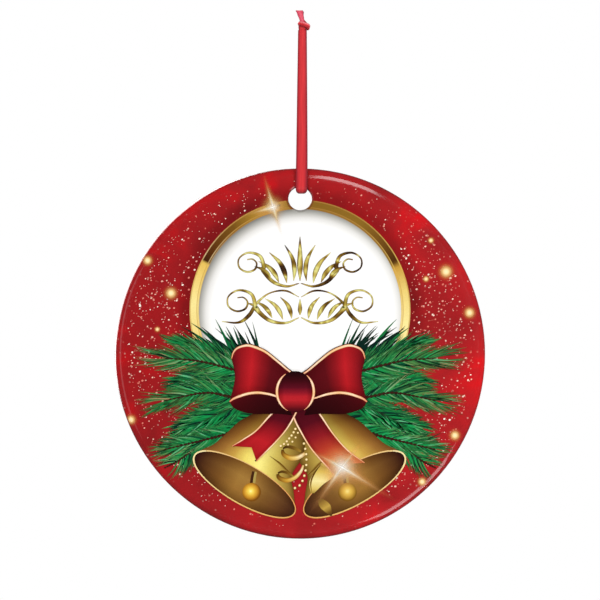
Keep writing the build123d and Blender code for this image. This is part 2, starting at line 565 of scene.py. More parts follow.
def needleModel():  # one blade, modelled once: a strip that swells and comes to a point
    blade = shapedGrid(1, 5, lambda across, row: ((across - 0.5) * fir["profile"][row], row / 5, 0))
    corners = [tuple(vertex.co.xy) for vertex in blade.data.vertices]
    faces = [tuple(face.vertices) for face in blade.data.polygons]
    bpy.data.objects.remove(blade)
    return corners, faces


def sprigNeedles(sprig, flip, seed):
    # copies of the blade along both sides of a stem, longest at its base
    draw = random.Random(seed)
    corners, faces = needleModel()
    stem = smoothLine(sprig["stem"], 60)
    points, shapes, uvs = [], [], []
    for k in range(sprig["count"]):
        along = (k + draw.random()) / sprig["count"]
        place = min(int(along * 58), 58)
        start = stem[place].to_2d()
        ahead = (stem[place + 1] - stem[place]).to_2d().normalized()
        angle = sprig["angles"][k % 2]
        lean = math.radians(angle * (1 - 0.6 * along ** 3) + draw.gauss(0, 4))
        first = Matrix.Rotation(lean, 2) @ ahead
        bend = math.radians(-math.copysign(1, angle) * draw.uniform(2, 16))
        base, tip = sprig["long"]
        size = (base + (tip - base) * along) * draw.uniform(0.72, 1.12)
        width = sprig.get("width", fir["needleWidth"]) * draw.uniform(0.7, 1.2)
        shade = min(max(draw.gauss(0.6, 0.3) - sprig["dark"], 0.0), 1.0)
        dryness = sprig["dry"] * draw.random() * 2.2 * along
        blade = []
        for across, down in corners:
            way = Matrix.Rotation(bend * down, 2) @ first
            blade.append(start + way * (size * down) + Vector((-way.y, way.x)) * (across * width))
        if max(spot.length for spot in blade) > disc["radius"] - 0.25:  # would stand past the rim
            continue
        number = len(points)
        lift = sprig["layer"] + (k % 7) / 8
        points += [onFace(u, w, lift) for u, w in mirrored(blade, flip=flip)]
        shapes += [[number + i for i in face] for face in faces]
        uvs += [(shade, corners[i][1] + dryness) for face in faces for i in face]
    return inkPatches("needles", points, shapes, uvs)


firInk = printInk("dye print, fir needles", firColour, grain=0.12)
barkInk = bandedInk("dye print, fir bark", fir["bark"], grain=0.2)
for sideName, flip in (("left", False), ("right", True)):
    for number, sprig in enumerate(fir["sprigs"]):
        needles = sprigNeedles(sprig, flip, seed=40 + number + 30 * flip)
        inkPiece(needles, f"{sideName}FirNeedles{number + 1}", firInk)
        if number < len(fir["sprigs"]) - fir["shownStems"]:
            continue
        stem = smoothLine(mirrored(sprig["stem"], flip=flip), 45)
        # rough with the scars of its needles, and thinner towards its tip
        rough = [(p.x, p.y, (0.62 - 0.009 * i) * (1.45 if i % 2 else 0.65)) for i, p in enumerate(stem)]
        inkPiece(inkStroke(rough, sprig["layer"] + 0.95, rows=132), f"{sideName}FirStem{number + 1}", barkInk)
report("fir sprigs")

# Bells
bell = {
    "mirrorU": -0.1,
    "rim": {"centre": (-11.35, -26.7), "radii": (11.8, 4.0), "tilt": -30.0},
    "left": [(-6.4, -9.6), (-9.6, -12.2), (-12.5, -13.9), (-15.2, -16.4), (-17.6, -18.5), (-19.8, -19.5),
             (-21.6, -20.6)],
    "right": [(1.5, -9.5), (1.4, -15.0), (0.6, -20.8), (-1.7, -24.8), (-1.3, -28.4), (-0.95, -32.0)],
    "tone": [(0.0, "#6E421A"), (0.12, "#9A6A2E"), (0.26, "#C49A44"), (0.4, "#ECD668"), (0.58, "#F8EA86"),
             (0.7, "#DECA66"), (0.84, "#BA9E48"), (0.94, "#987A34"), (1.0, "#6A4C18")],
    "fall": [(0.0, "#6A5A4A"), (0.3, "#A89A8A"), (0.52, "#DCD4C8"), (0.7, "#FFFFFF"), (1.0, "#FFFFFF")],
    "inside": [(0.0, "#1C080A"), (0.07, "#36160F"), (0.18, "#5E3A1A"), (0.3, "#7C5424"), (0.44, "#A07636"),
               (0.56, "#9E7436"),
               (0.68, "#7E5828"), (0.78, "#6C4622"), (0.9, "#4E2C18"), (1.0, "#30180C")],
    "insideFall": [(0.0, "#C8B8AC"), (0.35, "#FFFFFF"), (0.7, "#F4ECE4"), (1.0, "#B0A090")],
    "lip": [(0.0, "#F8E4A8"), (0.3, "#E8C070"), (0.6, "#E09A54"), (1.0, "#ECC884")],
    "lipWidths": [0.29, 0.34, 0.24, 0.26, 0.29, 0.22, 0.17, 0.19, 0.29],
    "grooveTone": [(0.0, "#5A3A10"), (0.5, "#7A5418"), (1.0, "#A08838")],
    "stalkTone": [(0.0, "#A8904A"), (0.45, "#B09850"), (0.5, "#3A1C0C"), (1.0, "#4A2A14")],
    "groove": [(-6.2, -20.9), (-4.2, -22.4), (-2.9, -23.7), (-1.8, -24.7)],
    "clapper": (-9.9, -28.3),
    "clapperRadius": 1.9,
    "dimClapperTone": [(0.0, "#F4E08A"), (0.15, "#E4BE54"), (0.3, "#C89A3C"), (0.42, "#A07828"),
                       (0.5, "#7A5218")],
    "clapperTone": [(0.0, "#FFF6A0"), (0.1, "#F8DC5C"), (0.25, "#E0AC38"), (0.4, "#B87C20"),
                    (0.5, "#7A4A10")],
}
bellInk = bandedInk("dye print, gold bell", bell["tone"], shade=bell["fall"])
insideInk = bandedInk("dye print, inside of the bell", bell["inside"], shade=bell["insideFall"])
lipInk = bandedInk("dye print, bell lip", bell["lip"], along="Y")
clapperInk = {"left": ballInk("dye print, clapper", (0.45, 0.55), bell["clapperTone"]),
              "right": ballInk("dye print, shaded clapper", (0.5, 0.55), bell["dimClapperTone"])}
shadowInk = bandedInk("dye print, brown shadow", bell["grooveTone"])
stalkInk = bandedInk("dye print, clapper stalk", bell["stalkTone"])


def addBell(sideName, flip, layer):
    def place(points):
        return mirrored(points, bell["mirrorU"], flip)
    rim = bell["rim"]

    def alongRim(start, end, count):
        return place(ovalPoints(rim["centre"], rim["radii"], start, end, count, rim["tilt"]))
    side = inkSheet(place(bell["left"]), place(bell["right"]), layer, rows=30, columns=16)
    inkPiece(side, f"{sideName}BellBody", bellInk)
    groove = inkStroke(withWidths(place(bell["groove"]), [0.05, 0.4, 0.45, 0.25]), layer + 1)
    inkPiece(groove, f"{sideName}BellGroove", shadowInk)
    mouth = inkSheet(alongRim(180, 0, 31), alongRim(180, 360, 31), layer + 2, rows=48, columns=10)
    for loop in mouth.data.uv_layers.active.data:  # the shading runs from end to end of the mouth
        loop.uv = (loop.uv.y, loop.uv.x)
    inkPiece(mouth, f"{sideName}BellMouth", insideInk)
    lip = inkStroke(withWidths(alongRim(150, 509.5, 60), bell["lipWidths"]), layer + 3, rows=180)
    inkPiece(lip, f"{sideName}BellLip", lipInk)
    u, w = place([bell["clapper"]])[0]
    inward = -1 if flip else 1
    stalk = inkStroke([(u + 0.6 * inward, w + 4.2, 1.0), (u + 0.3 * inward, w + 2.6, 1.1),
                       (u, w, 1.1)], layer + 3.4)
    inkPiece(stalk, f"{sideName}ClapperStalk", stalkInk)
    clapper = inkOval((u, w), (bell["clapperRadius"],) * 2, layer + 4.2, sides=48)
    inkPiece(clapper, f"{sideName}Clapper", clapperInk[sideName])


addBell("left", False, layer=20)
addBell("right", True, layer=13)
report("bells")

# Bow
bow = {
    "mirrorU": -0.35,
    "layer": 34,
    "loopTop": [(-0.6, -4.6), (-2.4, -3.4), (-4.9, -1.3), (-7.1, 0.4), (-9.2, 1.35), (-10.9, 1.7),
                (-12.7, 1.2), (-13.6, 0.3), (-14.0, -1.0)],
    "loopBottom": [(-2.6, -9.4), (-4.4, -8.85), (-5.6, -8.45), (-6.9, -8.15), (-8.7, -7.95), (-10.6, -8.15),
                   (-12.4, -8.7), (-13.6, -9.2), (-14.4, -9.8)],
    "side": [(-14.0, -1.0), (-13.5, -3.1), (-13.3, -4.8), (-13.6, -6.8), (-14.4, -9.7)],
    "insideTop": [(-14.4, -9.8), (-12.4, -8.7), (-10.6, -8.15), (-8.7, -7.95), (-6.9, -8.15),
                  (-4.4, -8.85), (-2.6, -9.6)],
    "insideBottom": [(-14.4, -9.8), (-13.6, -11.0), (-11.6, -11.9), (-9.4, -12.3), (-6.8, -12.3),
                     (-4.2, -12.3), (-1.6, -12.6)],
    "loopTone": [(0.0, "#3A040C"), (0.14, "#50060F"), (0.36, "#5E0B14"), (0.52, "#8E141C"),
                 (0.66, "#BC1C24"),
                 (0.78, "#A0161E"), (0.9, "#7A0E18"), (1.0, "#5A0A12")],
    "loopFall": [(0.0, "#E8D8D8"), (0.4, "#FFFFFF"), (0.8, "#F4E8E8"), (1.0, "#C8B0B0")],
    "insideTone": [(0.0, "#6A0E16"), (0.12, "#4E060E"), (0.5, "#3C040A"), (1.0, "#2C0208")],
    "insideFall": [(0.0, "#FFFFFF"), (1.0, "#C8B8B8")],
    "knot": {"centre": (-0.95, -7.75), "radii": (3.72, 4.2)},
    "knotTone": [(0.0, "#3A0410"), (0.08, "#5A0A14"), (0.18, "#8E161E"), (0.3, "#B82028"), (0.38, "#B41E28"),
                 (0.48, "#8A1424"), (0.6, "#5A0A1C"), (0.76, "#3C040E"), (0.9, "#280208"), (1.0, "#160004")],
    "trimTone": [(0.0, "#F0A878"), (0.25, "#FFE4C4"), (0.5, "#F8C890"), (0.75, "#FFE0BC"), (1.0, "#E89868")],
    "outline": "#2A0A08",
}
loopInk = bandedInk("dye print, bow loop", bow["loopTone"], along="Y", shade=bow["loopFall"])
bowInsideInk = bandedInk("dye print, inside of the bow", bow["insideTone"], along="Y",
                         shade=bow["insideFall"])
knotInk = bandedInk("dye print, bow knot", bow["knotTone"], along="Y",
                    shade=[(0.0, "#B8A8A8"), (0.2, "#FFFFFF"), (0.8, "#FFFFFF"), (1.0, "#A89898")])
trimInk = bandedInk("dye print, cream trim", bow["trimTone"], along="Y",
                    shade=[(0.0, "#C07840"), (0.3, "#FFFFFF"), (0.7, "#FFFFFF"), (1.0, "#C88850")])
darkInk = bandedInk("dye print, dark outline", [(0.0, bow["outline"]), (1.0, bow["outline"])])

tail = {
    "left": {
        "outer": [(-3.6, -10.6), (-6.0, -12.5), (-8.9, -15.65), (-11.4, -17.4), (-13.9, -18.9)],
        "inner": [(-0.4, -10.6), (-0.9, -12.2), (-2.6, -15.2), (-4.95, -18.0), (-8.9, -21.95)],
        "notch": (-9.9, -19.15),
        "tone": [(0.0, "#3E0410"), (0.28, "#5A0818"), (0.5, "#96141E"), (0.72, "#BA1C24"), (1.0, "#A8181F")],
        "layer": 30,
    },
    "right": {
        "outer": [(1.6, -10.4), (3.6, -11.8), (6.8, -16.4), (9.8, -19.8), (13.2, -22.3)],
        "inner": [(-1.6, -11.2), (-1.1, -13.4), (0.1, -15.8), (2.6, -19.8), (7.4, -25.1)],
        "notch": (8.9, -22.6),
        "tone": [(0.0, "#3E0410"), (0.25, "#560818"), (0.45, "#8E1820"), (0.66, "#B83A26"),
                 (0.85, "#CC5A30"),
                 (1.0, "#D87848")],
        "layer": 28,
    },
}


def bowTail(sideName, spec):
    # a strip with a swallowtail end: its two edges run on to the two points, and the notch between
    rows = 28
    outerLine, innerLine = [smoothLine(spec[edge], rows + 1) for edge in ("outer", "inner")]
    pull = Vector(spec["notch"]) - (outerLine[-1] + innerLine[-1]).to_2d() / 2

    def placeAt(across, row):
        spot = outerLine[row].lerp(innerLine[row], across).to_2d()
        spot += pull * (1 - abs(2 * across - 1)) * (row / rows) ** 3
        return onFace(*spot, spec["layer"])
    ink = bandedInk(f"dye print, {sideName} bow tail", spec["tone"], along="Y",
                    shade=[(0.0, "#D8C8C8"), (0.3, "#FFFFFF"), (0.8, "#FFFFFF"), (1.0, "#D0B8B8")])
    inkPiece(settleInk(shapedGrid(8, rows, placeAt)), f"{sideName}BowTail", ink)
    for edge in ("outer", "inner"):
        line = smoothLine(spec[edge], 24)
        outward = 0.256 if (edge == "outer") == (sideName == "left") else -0.256
        name = f"{sideName}BowTail{edge.title()}"
        shade = [(p.x + outward, p.y, 0.3) for p in line]
        inkPiece(inkStroke(shade, spec["layer"] - 0.5, rows=48), f"{name}Shade", darkInk)
        trim = withWidths(line, [0.34, 0.36, 0.3, 0.3, 0.2])
        inkPiece(inkStroke(trim, spec["layer"] + 1, rows=48), f"{name}Trim", trimInk)


def bowLoop(sideName, flip):
    def place(points):
        return mirrored(points, bow["mirrorU"], flip)
    layer, rows, columns = bow["layer"], 32, 16
    top, bottom = [smoothLine(bow[edge], rows + 1) for edge in ("loopTop", "loopBottom")]
    side = smoothLine(bow["side"], columns + 1)

    def placeAt(across, row):  # between the two edges, and drawn out to the side's own line at the end
        spot = top[row].lerp(bottom[row], across).to_2d()
        straight = top[-1].lerp(bottom[-1], across).to_2d()
        spot += (side[round(across * columns)].to_2d() - straight) * (row / rows) ** 4
        return onFace(*place([spot])[0], layer)
    inkPiece(settleInk(shapedGrid(columns, rows, placeAt)), f"{sideName}BowLoop", loopInk)
    inside = inkSheet(place(bow["insideTop"]), place(bow["insideBottom"]), layer - 1, rows=30, columns=8)
    inkPiece(inside, f"{sideName}BowInside", bowInsideInk)
    above = [(u, w + 0.28) for u, w in bow["loopTop"]]
    for name, edge, widths, lift, steps, ink in (
            ("Shade", above, [0.3, 0.3, 0.3, 0.2, 0.1], -0.5, 60, darkInk),
            ("TrimTop", bow["loopTop"], [0.3, 0.42, 0.5, 0.56, 0.5, 0.36, 0.2], 1, 72, trimInk),
            ("TrimBottom", bow["loopBottom"], [0.3, 0.4, 0.5, 0.56, 0.56, 0.5, 0.3], 1.5, 72, trimInk)):
        inkPiece(inkStroke(withWidths(place(edge), widths), layer + lift, steps), f"{sideName}Bow{name}", ink)


for sideName in ("right", "left"):
    bowTail(sideName, tail[sideName])
bowLoop("left", False)
bowLoop("right", True)
knot = bow["knot"]
inkPiece(inkOval(knot["centre"], knot["radii"], bow["layer"] + 4), "bowKnot", knotInk)
for name, start, end in (("Left", 122, 246), ("Right", 52, -62)):
    arc = ovalPoints(knot["centre"], [r + 0.05 for r in knot["radii"]], start, end, 20)
    inkPiece(inkStroke(withWidths(arc, [0.16, 0.5, 0.56, 0.4, 0.08]), bow["layer"] + 5, rows=60),
             f"bowKnotTrim{name}", trimInk)
report("bow")

# Curled ribbons and bead chains
curls = {
    "tone": [(0.0, "#5A3A0C"), (0.12, "#8A5E1A"), (0.35, "#D8A83C"), (0.6, "#F2D27A"), (0.85, "#FBEBC0"),
             (1.0, "#E8C070")],
    "backTone": [(0.0, "#3E2408"), (0.5, "#6A4814"), (1.0, "#A07C2C")],
    "upper": [(-3.6, -19.6, 0.5), (-3.3, -20.6, 0.9), (-2.0, -21.3, 1.0), (-0.4, -21.2, 0.9),
              (1.0, -20.4, 0.7)],
    "lower": [(-4.6, -24.6, 0.5), (-4.2, -25.4, 0.9), (-2.7, -25.9, 0.9), (-1.0, -25.3, 0.8),
              (0.2, -24.0, 0.6),
              (0.7, -22.8, 0.4)],
    "thirdEdges": ([(4.2, -22.6), (2.6, -24.7), (1.9, -26.5), (2.2, -28.5)],
                   [(4.3, -22.7), (6.9, -24.8), (4.7, -26.75), (2.9, -28.5)]),
    "dimEdges": ([(3.65, -29.7), (4.1, -31.4), (6.2, -33.2)], [(4.05, -29.3), (6.1, -30.8), (6.6, -33.1)]),
    "thirdTone": [(0.0, "#A88838"), (0.3, "#D8BC58"), (0.6, "#F4E49C"), (0.85, "#E0C468"), (1.0, "#A88838")],
    "dimTone": [(0.0, "#4A2C12"), (0.35, "#A07C34"), (0.55, "#C09C44"), (0.8, "#74501E"), (1.0, "#3E240E")],
    "thirdFold": [(4.25, -22.6, 0.1), (2.8, -24.7, 0.34), (2.2, -26.5, 0.3), (2.4, -28.4, 0.1)],
    "upperBack": [(-3.5, -19.4, 0.3), (-2.6, -19.0, 0.6), (-1.2, -19.3, 0.7), (0.2, -20.0, 0.4)],
    "lowerBack": [(-4.5, -24.4, 0.3), (-3.6, -24.1, 0.5), (-2.3, -24.5, 0.5), (-1.4, -25.1, 0.3)],
}
beads = {
    "tone": [(0.0, "#FFF6D8"), (0.25, "#F6E0A0"), (0.42, "#C8A050"), (0.5, "#7A5A20")],
    "chain": [(-0.9, -15.4), (-1.5, -16.5), (-2.2, -17.4), (-3.0, -18.3), (-3.9, -18.9)],
    "second": [(-0.4, -16.2), (-0.9, -17.2), (-1.7, -18.2), (-2.4, -18.6)],
    "fall": [(0.85, -18.4), (1.3, -20.4), (1.35, -22.4), (1.1, -24.3), (0.5, -26.1), (-0.2, -27.1),
             (-1.0, -27.5)],
}
curlInk = bandedInk("dye print, curled gold ribbon", curls["tone"], along="Y",
                    shade=[(0.0, "#B89868"), (0.4, "#FFFFFF"), (1.0, "#D8C0A0")])
curlBackInk = bandedInk("dye print, curl's shaded side", curls["backTone"], along="Y")
beadInk = ballInk("dye print, bead", (0.42, 0.58), beads["tone"])
for name in ("upper", "lower"):
    inkPiece(inkStroke(curls[name + "Back"], 26.5, rows=30), f"{name}CurlBack", curlBackInk)
    inkPiece(inkStroke(curls[name], 27.2, rows=40), f"{name}Curl", curlInk)
for name, layer in (("third", 27.4), ("dim", 19.4)):
    ink = bandedInk(f"dye print, {name} curl", curls[name + "Tone"], along="Y")
    inkPiece(inkSheet(*curls[name + "Edges"], layer), f"{name}Curl", ink)
inkPiece(inkStroke(curls["thirdFold"], 28.3, rows=30), "thirdCurlFold", curlBackInk)
for name, size, count in (("chain", 0.3, 7), ("second", 0.26, 4), ("fall", 0.3, 10)):
    row = [inkOval(p, (size, size), 27.8, sides=12) for p in smoothLine(beads[name], count)]
    inkPiece(joined(row, "beads"), f"{name}Beads", beadInk)
report("curls and beads")

# Gold scrollwork in the panel
scroll = {
    "layer": 3,
    "patchSize": 3.4,
    "tone": [(0.30, "#3A2412"), (0.40, "#7A5A20"), (0.47, "#C0A84C"), (0.53, "#E2DC88"), (0.58, "#B09A40"),
             (0.66, "#6A4A1A"), (0.74, "#3A2412")],
    "sides": [(0.0, "#7A6A58"), (0.3, "#FFFFFF"), (0.7, "#FFFFFF"), (1.0, "#8A7860")],
    "stemWidths": [0.2, 0.7, 1.0, 0.7, 0.3, 0.36, 0.44, 0.32, 0.24],
    "leafPlaces": (0, 0.3, 0.62, 1),  # where along it a leaf has its four widths
    # in each row: the middle leaf's foot, tip and width; a stem that winds into a curl, which has a middle,
    # a starting angle and a radius; and leaves by foot, lean in degrees, height and width
    "rows": [
        {"upright": (14.9, 24.0, 1.15),
         "stem": [(-0.2, 14.4), (-2.8, 13.8), (-5.6, 14.8), (-7.6, 17.2)], "curl": ((-10.4, 18.4), -14, 3.1),
         "leaves": [(-1.3, 14.9, -14, 7.6, 0.95), (-2.7, 14.5, -30, 7.2, 1.05),
                    (-4.3, 14.6, -44, 6.0, 1.0), (-5.9, 15.4, -54, 4.2, 0.8)]},
        {"upright": (7.9, 11.2, 0.85),
         "stem": [(-0.2, 7.4), (-3.0, 6.3), (-6.4, 6.9), (-9.2, 9.4)], "curl": ((-12.4, 10.5), -16, 3.4),
         "crossing": [(-0.2, 11.6), (-3.0, 12.9), (-6.2, 12.4), (-8.8, 10.4), (-10.4, 7.9), (-12.6, 6.4),
                      (-16.0, 6.6)],
         "leaves": [(-1.7, 7.2, -28, 5.0, 0.9), (-3.5, 7.0, -40, 5.6, 0.9),
                    (-5.7, 7.3, -46, 5.0, 0.85), (-8.0, 8.4, -56, 3.6, 0.7)]},
    ],
}


def scrollColour(tree):
    # foil gradient: soft patches a few millimetres long, darker along a stroke's edges
    patches = addNode(tree, "TexNoise", {"Vector": faceCoordinates(tree, shift=(7, 0, 2)),
                                         "Scale": 1 / scroll["patchSize"], "Detail": 1.0})
    foil = addNode(tree, "ValToRGB", [patches], scroll["tone"])
    sides = addNode(tree, "ValToRGB", [uvSplit(tree)], scroll["sides"])
    return addNode(tree, "VectorMath", [foil, sides], operation="MULTIPLY")


def spiral(centre, start, radius, turns=1.35, shrink=0.35, steps=9):
    # points of a scroll's curl, wound in towards its middle
    points = []
    for i in range(steps + 1):
        angle = math.radians(start + 360 * turns * i / steps)
        size = radius * (1 - (1 - shrink) * i / steps)
        points.append((centre[0] + size * math.cos(angle), centre[1] + size * 0.86 * math.sin(angle)))
    return points


def scrollStrokes():
    # two rows of ornament, each drawn on the left and mirrored: wound scrolls with slender leaves
    strokes = []

    def stroke(points, widths):
        for half in (points, mirrored(points)):
            lift = 0.1 * (len(strokes) % 7)
            strokes.append(inkStroke(withWidths(half, widths), scroll["layer"] + lift))

    def leaf(u, w, lean, tall, width):
        way = Vector((math.sin(math.radians(lean)), math.cos(math.radians(lean))))
        curve = Vector((way.y, -way.x)) * tall * 0.12
        path = [Vector((u, w)) + way * tall * t + curve * math.sin(t * math.pi) for t in scroll["leafPlaces"]]
        stroke(path, [0.12, width, width * 0.8, 0.1])

    for row in scroll["rows"]:
        low, high, width = row["upright"]  # the one leaf that stands on the middle line
        path = [(0, low + (high - low) * t) for t in scroll["leafPlaces"]]
        path = withWidths(path, [0.12, width, width * 0.8, 0.1])
        strokes.append(inkStroke(path, scroll["layer"] + 0.8))
        stroke(row["stem"] + spiral(*row["curl"]), scroll["stemWidths"])
        if "crossing" in row:
            stroke(row["crossing"], [0.14, 0.4, 0.3, 0.55, 0.8, 0.5, 0.14])
        for spec in row["leaves"]:
            leaf(*spec)
    return strokes


inkPiece(joined(scrollStrokes(), "scrollwork"), "goldScrollwork",
         printInk("dye print, gold foil scrollwork", scrollColour))
report("scrollwork")

# Flecks, soft lights and glints
flecks = {
    "count": 1650, "small": 0.07, "large": 0.22, "reach": 35.6, "seed": 11,
    "offRing": 0.4, "offHole": 3.4,  # how far they stay from the ring, and from the hole's middle
    "tone": [(0.0, "#C84038"), (0.45, "#E08070"), (0.8, "#F4C8B4"), (1.0, "#FFF4E8")],
}
softLights = [  # place, radius
    (-31.2, 19.1, 1.3), (-26.4, 12.4, 1.6), (29.9, 16.8, 1.8), (34.7, 8.4, 1.5), (31.7, -16.7, 1.4),
    (-34.6, -13.5, 1.3), (-29.2, 5.0, 0.7), (25.8, 15.3, 0.8), (26.8, 23.2, 0.8), (24.4, 2.6, 0.7),
    (25.0, -26.2, 1.2),
]
glowInks = {  # name, colours from the edge inwards, strength
    "soft": ("dye print, soft gold light",
             [(0.0, "#D04828"), (0.35, "#E88040"), (0.65, "#FCCC80"), (1.0, "#FFF0C0")], 1.7),
    "gold": ("dye print, gold glint",
             [(0.0, "#D08838"), (0.5, "#ECBC6C"), (0.78, "#FFEBB8"), (1.0, "#FFFFFF")], 1.2),
    "white": ("dye print, white gold glint",
              [(0.0, "#F09848"), (0.45, "#FFB870"), (0.72, "#FFDCA8"), (0.86, "#FFF6E4"),
               (1.0, "#FFFFFF")], 1.15),
    "core": ("dye print, white core of a glint", [(0.0, "#FFD0A0"), (0.5, "#FFF0D8"),
                                                  (1.0, "#FFFFFF")], 1.1),
}
glints = [  # place, radius and layer of each; its rays by angle, length and width
    {"name": "ringGlint", "ink": "gold", "spot": (-5.5, 30.0, 3.3, 4),
     "rays": [(106, 8.8, 3.2), (-73, 7.6, 3.0), (17, 2.8, 2.0), (196, 8.8, 3.2)]},
    {"name": "bellGlint", "ink": "white", "spot": (8.6, -23.2, 6.2, 44),
     "rays": [(52, 8.5, 4.0), (235, 13.5, 4.8), (-32, 15.0, 4.4), (153, 10.5, 4.2)]},
    {"name": "ringGlintCore", "ink": "core", "spot": (-5.5, 30.0, 1.7, 5),
     "rays": [(106, 4.2, 0.9), (-73, 3.2, 0.8), (17, 2.4, 0.8), (196, 3.4, 0.9)]},
    {"name": "bellGlintCore", "ink": "core", "spot": (8.6, -23.2, 3.0, 45),
     "rays": [(52, 4.0, 1.4), (235, 5.0, 1.4), (-32, 6.0, 1.4), (153, 4.4, 1.4)]},
]


def fleckColour(tree):
    return addNode(tree, "ValToRGB", [uvSplit(tree)], flecks["tone"])


def fleckPiece():
    # one six-sided fleck, copied all over the red: thick at the two sides, thin at top and bottom
    draw = random.Random(flecks["seed"])
    points, faces, uvs = [], [], []
    while len(faces) < flecks["count"]:
        angle, reach = draw.uniform(0, 2 * math.pi), flecks["reach"] * math.sqrt(draw.random())
        spot = Vector((reach * math.cos(angle), reach * math.sin(angle)))
        if (spot - Vector(ringArt["centre"])).length < ringArt["outer"] + flecks["offRing"]:
            continue
        if draw.random() > (abs(spot.x) / 30) ** 1.5 + 0.17:  # thicker towards the two sides
            continue
        if (spot - Vector((0, disc["holeW"]))).length < flecks["offHole"]:
            continue
        size = flecks["small"] + (flecks["large"] - flecks["small"]) * draw.random() ** 3
        first = len(points)
        turn = draw.uniform(0, 1)
        for k in range(6):
            stretch = 1.25 if k % 3 == 0 else 0.95
            way = Vector((math.cos(turn + k * math.pi / 3), math.sin(turn + k * math.pi / 3)))
            points.append(onFace(*(spot + size * stretch * way), 2.0))
        faces.append(list(range(first, first + 6)))
        uvs += [(draw.uniform(0.2, 1.0), 0)] * 6
    return inkPatches("flecks", points, faces, uvs)


def glowInk(name, stops, strength):
    # light printed as a soft spot: dye that thins to nothing at its edge, as the UV's X falls to 0
    material, tree, shader = newMaterial(name, **coat)
    split = uvSplit(tree)
    ramp = addNode(tree, "ValToRGB", [split], stops)
    tree.links.new(ramp.outputs["Color"], shader.inputs["Base Color"])
    fade = addNode(tree, "Math", [split, 2.3], operation="POWER")
    cover = addNode(tree, "Math", [fade, strength], operation="MULTIPLY")
    mixed = addNode(tree, "MixShader", [cover, addNode(tree, "BsdfTransparent"), shader])
    tree.links.new(mixed.outputs["Shader"], tree.nodes["Material Output"].inputs["Surface"])
    return material


def glowSpot(u, w, radius, layer, rays=()):
    # a disc that fades outwards, with rays: each is an angle, a length and a width
    bpy.ops.mesh.primitive_circle_add(vertices=32, radius=1, fill_type="TRIFAN")
    piece = bpy.context.active_object
    bpy.ops.object.mode_set(mode="EDIT")
    bpy.ops.mesh.select_all(action="SELECT")
    bpy.ops.mesh.subdivide(number_cuts=5)  # so that it can follow the rim
    bpy.ops.object.mode_set(mode="OBJECT")
    for loop in piece.data.loops:
        local = piece.data.vertices[loop.vertex_index].co
        piece.data.uv_layers.active.data[loop.index].uv = (1 - min(local.length, 1), 0)
    for vertex in piece.data.vertices:
        vertex.co = onFace(u + vertex.co.x * radius, w + vertex.co.y * radius, layer)
    pieces = [piece]
    for number, (angle, length, width) in enumerate(rays):
        way = Vector((math.cos(math.radians(angle)), math.sin(math.radians(angle))))

        def placeAt(across, row):
            out = row / 12
            side = Vector((-way.y, way.x)) * (across - 0.5) * width * (1 - out * 0.85)
            return onFace(*(Vector((u, w)) + way * out * length + side), layer + 0.3 + 0.12 * number)
        ray = shapedGrid(2, 12, placeAt)
        for loop in ray.data.uv_layers.active.data:
            across, out = loop.uv
            loop.uv = ((1 - out) * (1 - abs(across * 2 - 1)), 0)
        pieces.append(ray)
    made = joined(pieces, "glow")
    faceForwards(made)
    return made


inkPiece(fleckPiece(), "glitterFlecks", printInk("dye print, glitter flecks", fleckColour, grain=0.02))
inks = {name: glowInk(*spec) for name, spec in glowInks.items()}
spots = [glowSpot(u, w, radius * 1.35, 2.4) for u, w, radius in softLights]
inkPiece(joined(spots, "spots"), "softLights", inks["soft"])
for spec in glints:
    inkPiece(glowSpot(*spec["spot"], spec["rays"]), spec["name"], inks[spec["ink"]])
report("flecks and glints")

# Satin ribbon
ribbon = {
    "route": [(0.5, -0.35, 0), (0.4, -1.95, -25.1), (0.34, -1.95, -29.55), (0.3, -1.95, -33.45),
              (0.3, 1.95, -33.45), (0.34, 1.95, -29.55), (0.4, 1.95, -25.1), (0.5, 0.35, 0)],
    "length": 69.4, "corner": 0.88, "width": 2.4, "pinched": 1.7, "thickness": 0.26, "cup": 0.3,
    "warp": (0.16, 6.0, 2.0), "weft": (0.3, 0.16, 1.0),  # threads: size across and along in mm, and detail
    # across the ribbon, darker at both edges: painted shade where it curves away
    "colours": [(0.0, "#7A1620"), (0.13, "#AA242E"), (0.28, "#CC3036"), (0.55, "#D43438"), (0.74, "#C82E34"),
                (0.88, "#A02430"), (1.0, "#741420")],
    # painted shade across the loop's lowest part, where it turns through the hole
    "turnShade": [(0.478, "#FFFFFF"), (0.5, "#A86470"),
                  (0.522, "#FFFFFF")],  # deeper where it turns in the hole
    # the tails' satin: a paler pink middle, painted sheen, with darker edges, painted shade
    "tailSheenColours": [(0.0, "#A03048"), (0.2, "#D84A60"), (0.5, "#E86478"), (0.8, "#D84A60"), (1.0, "#983044")],
}


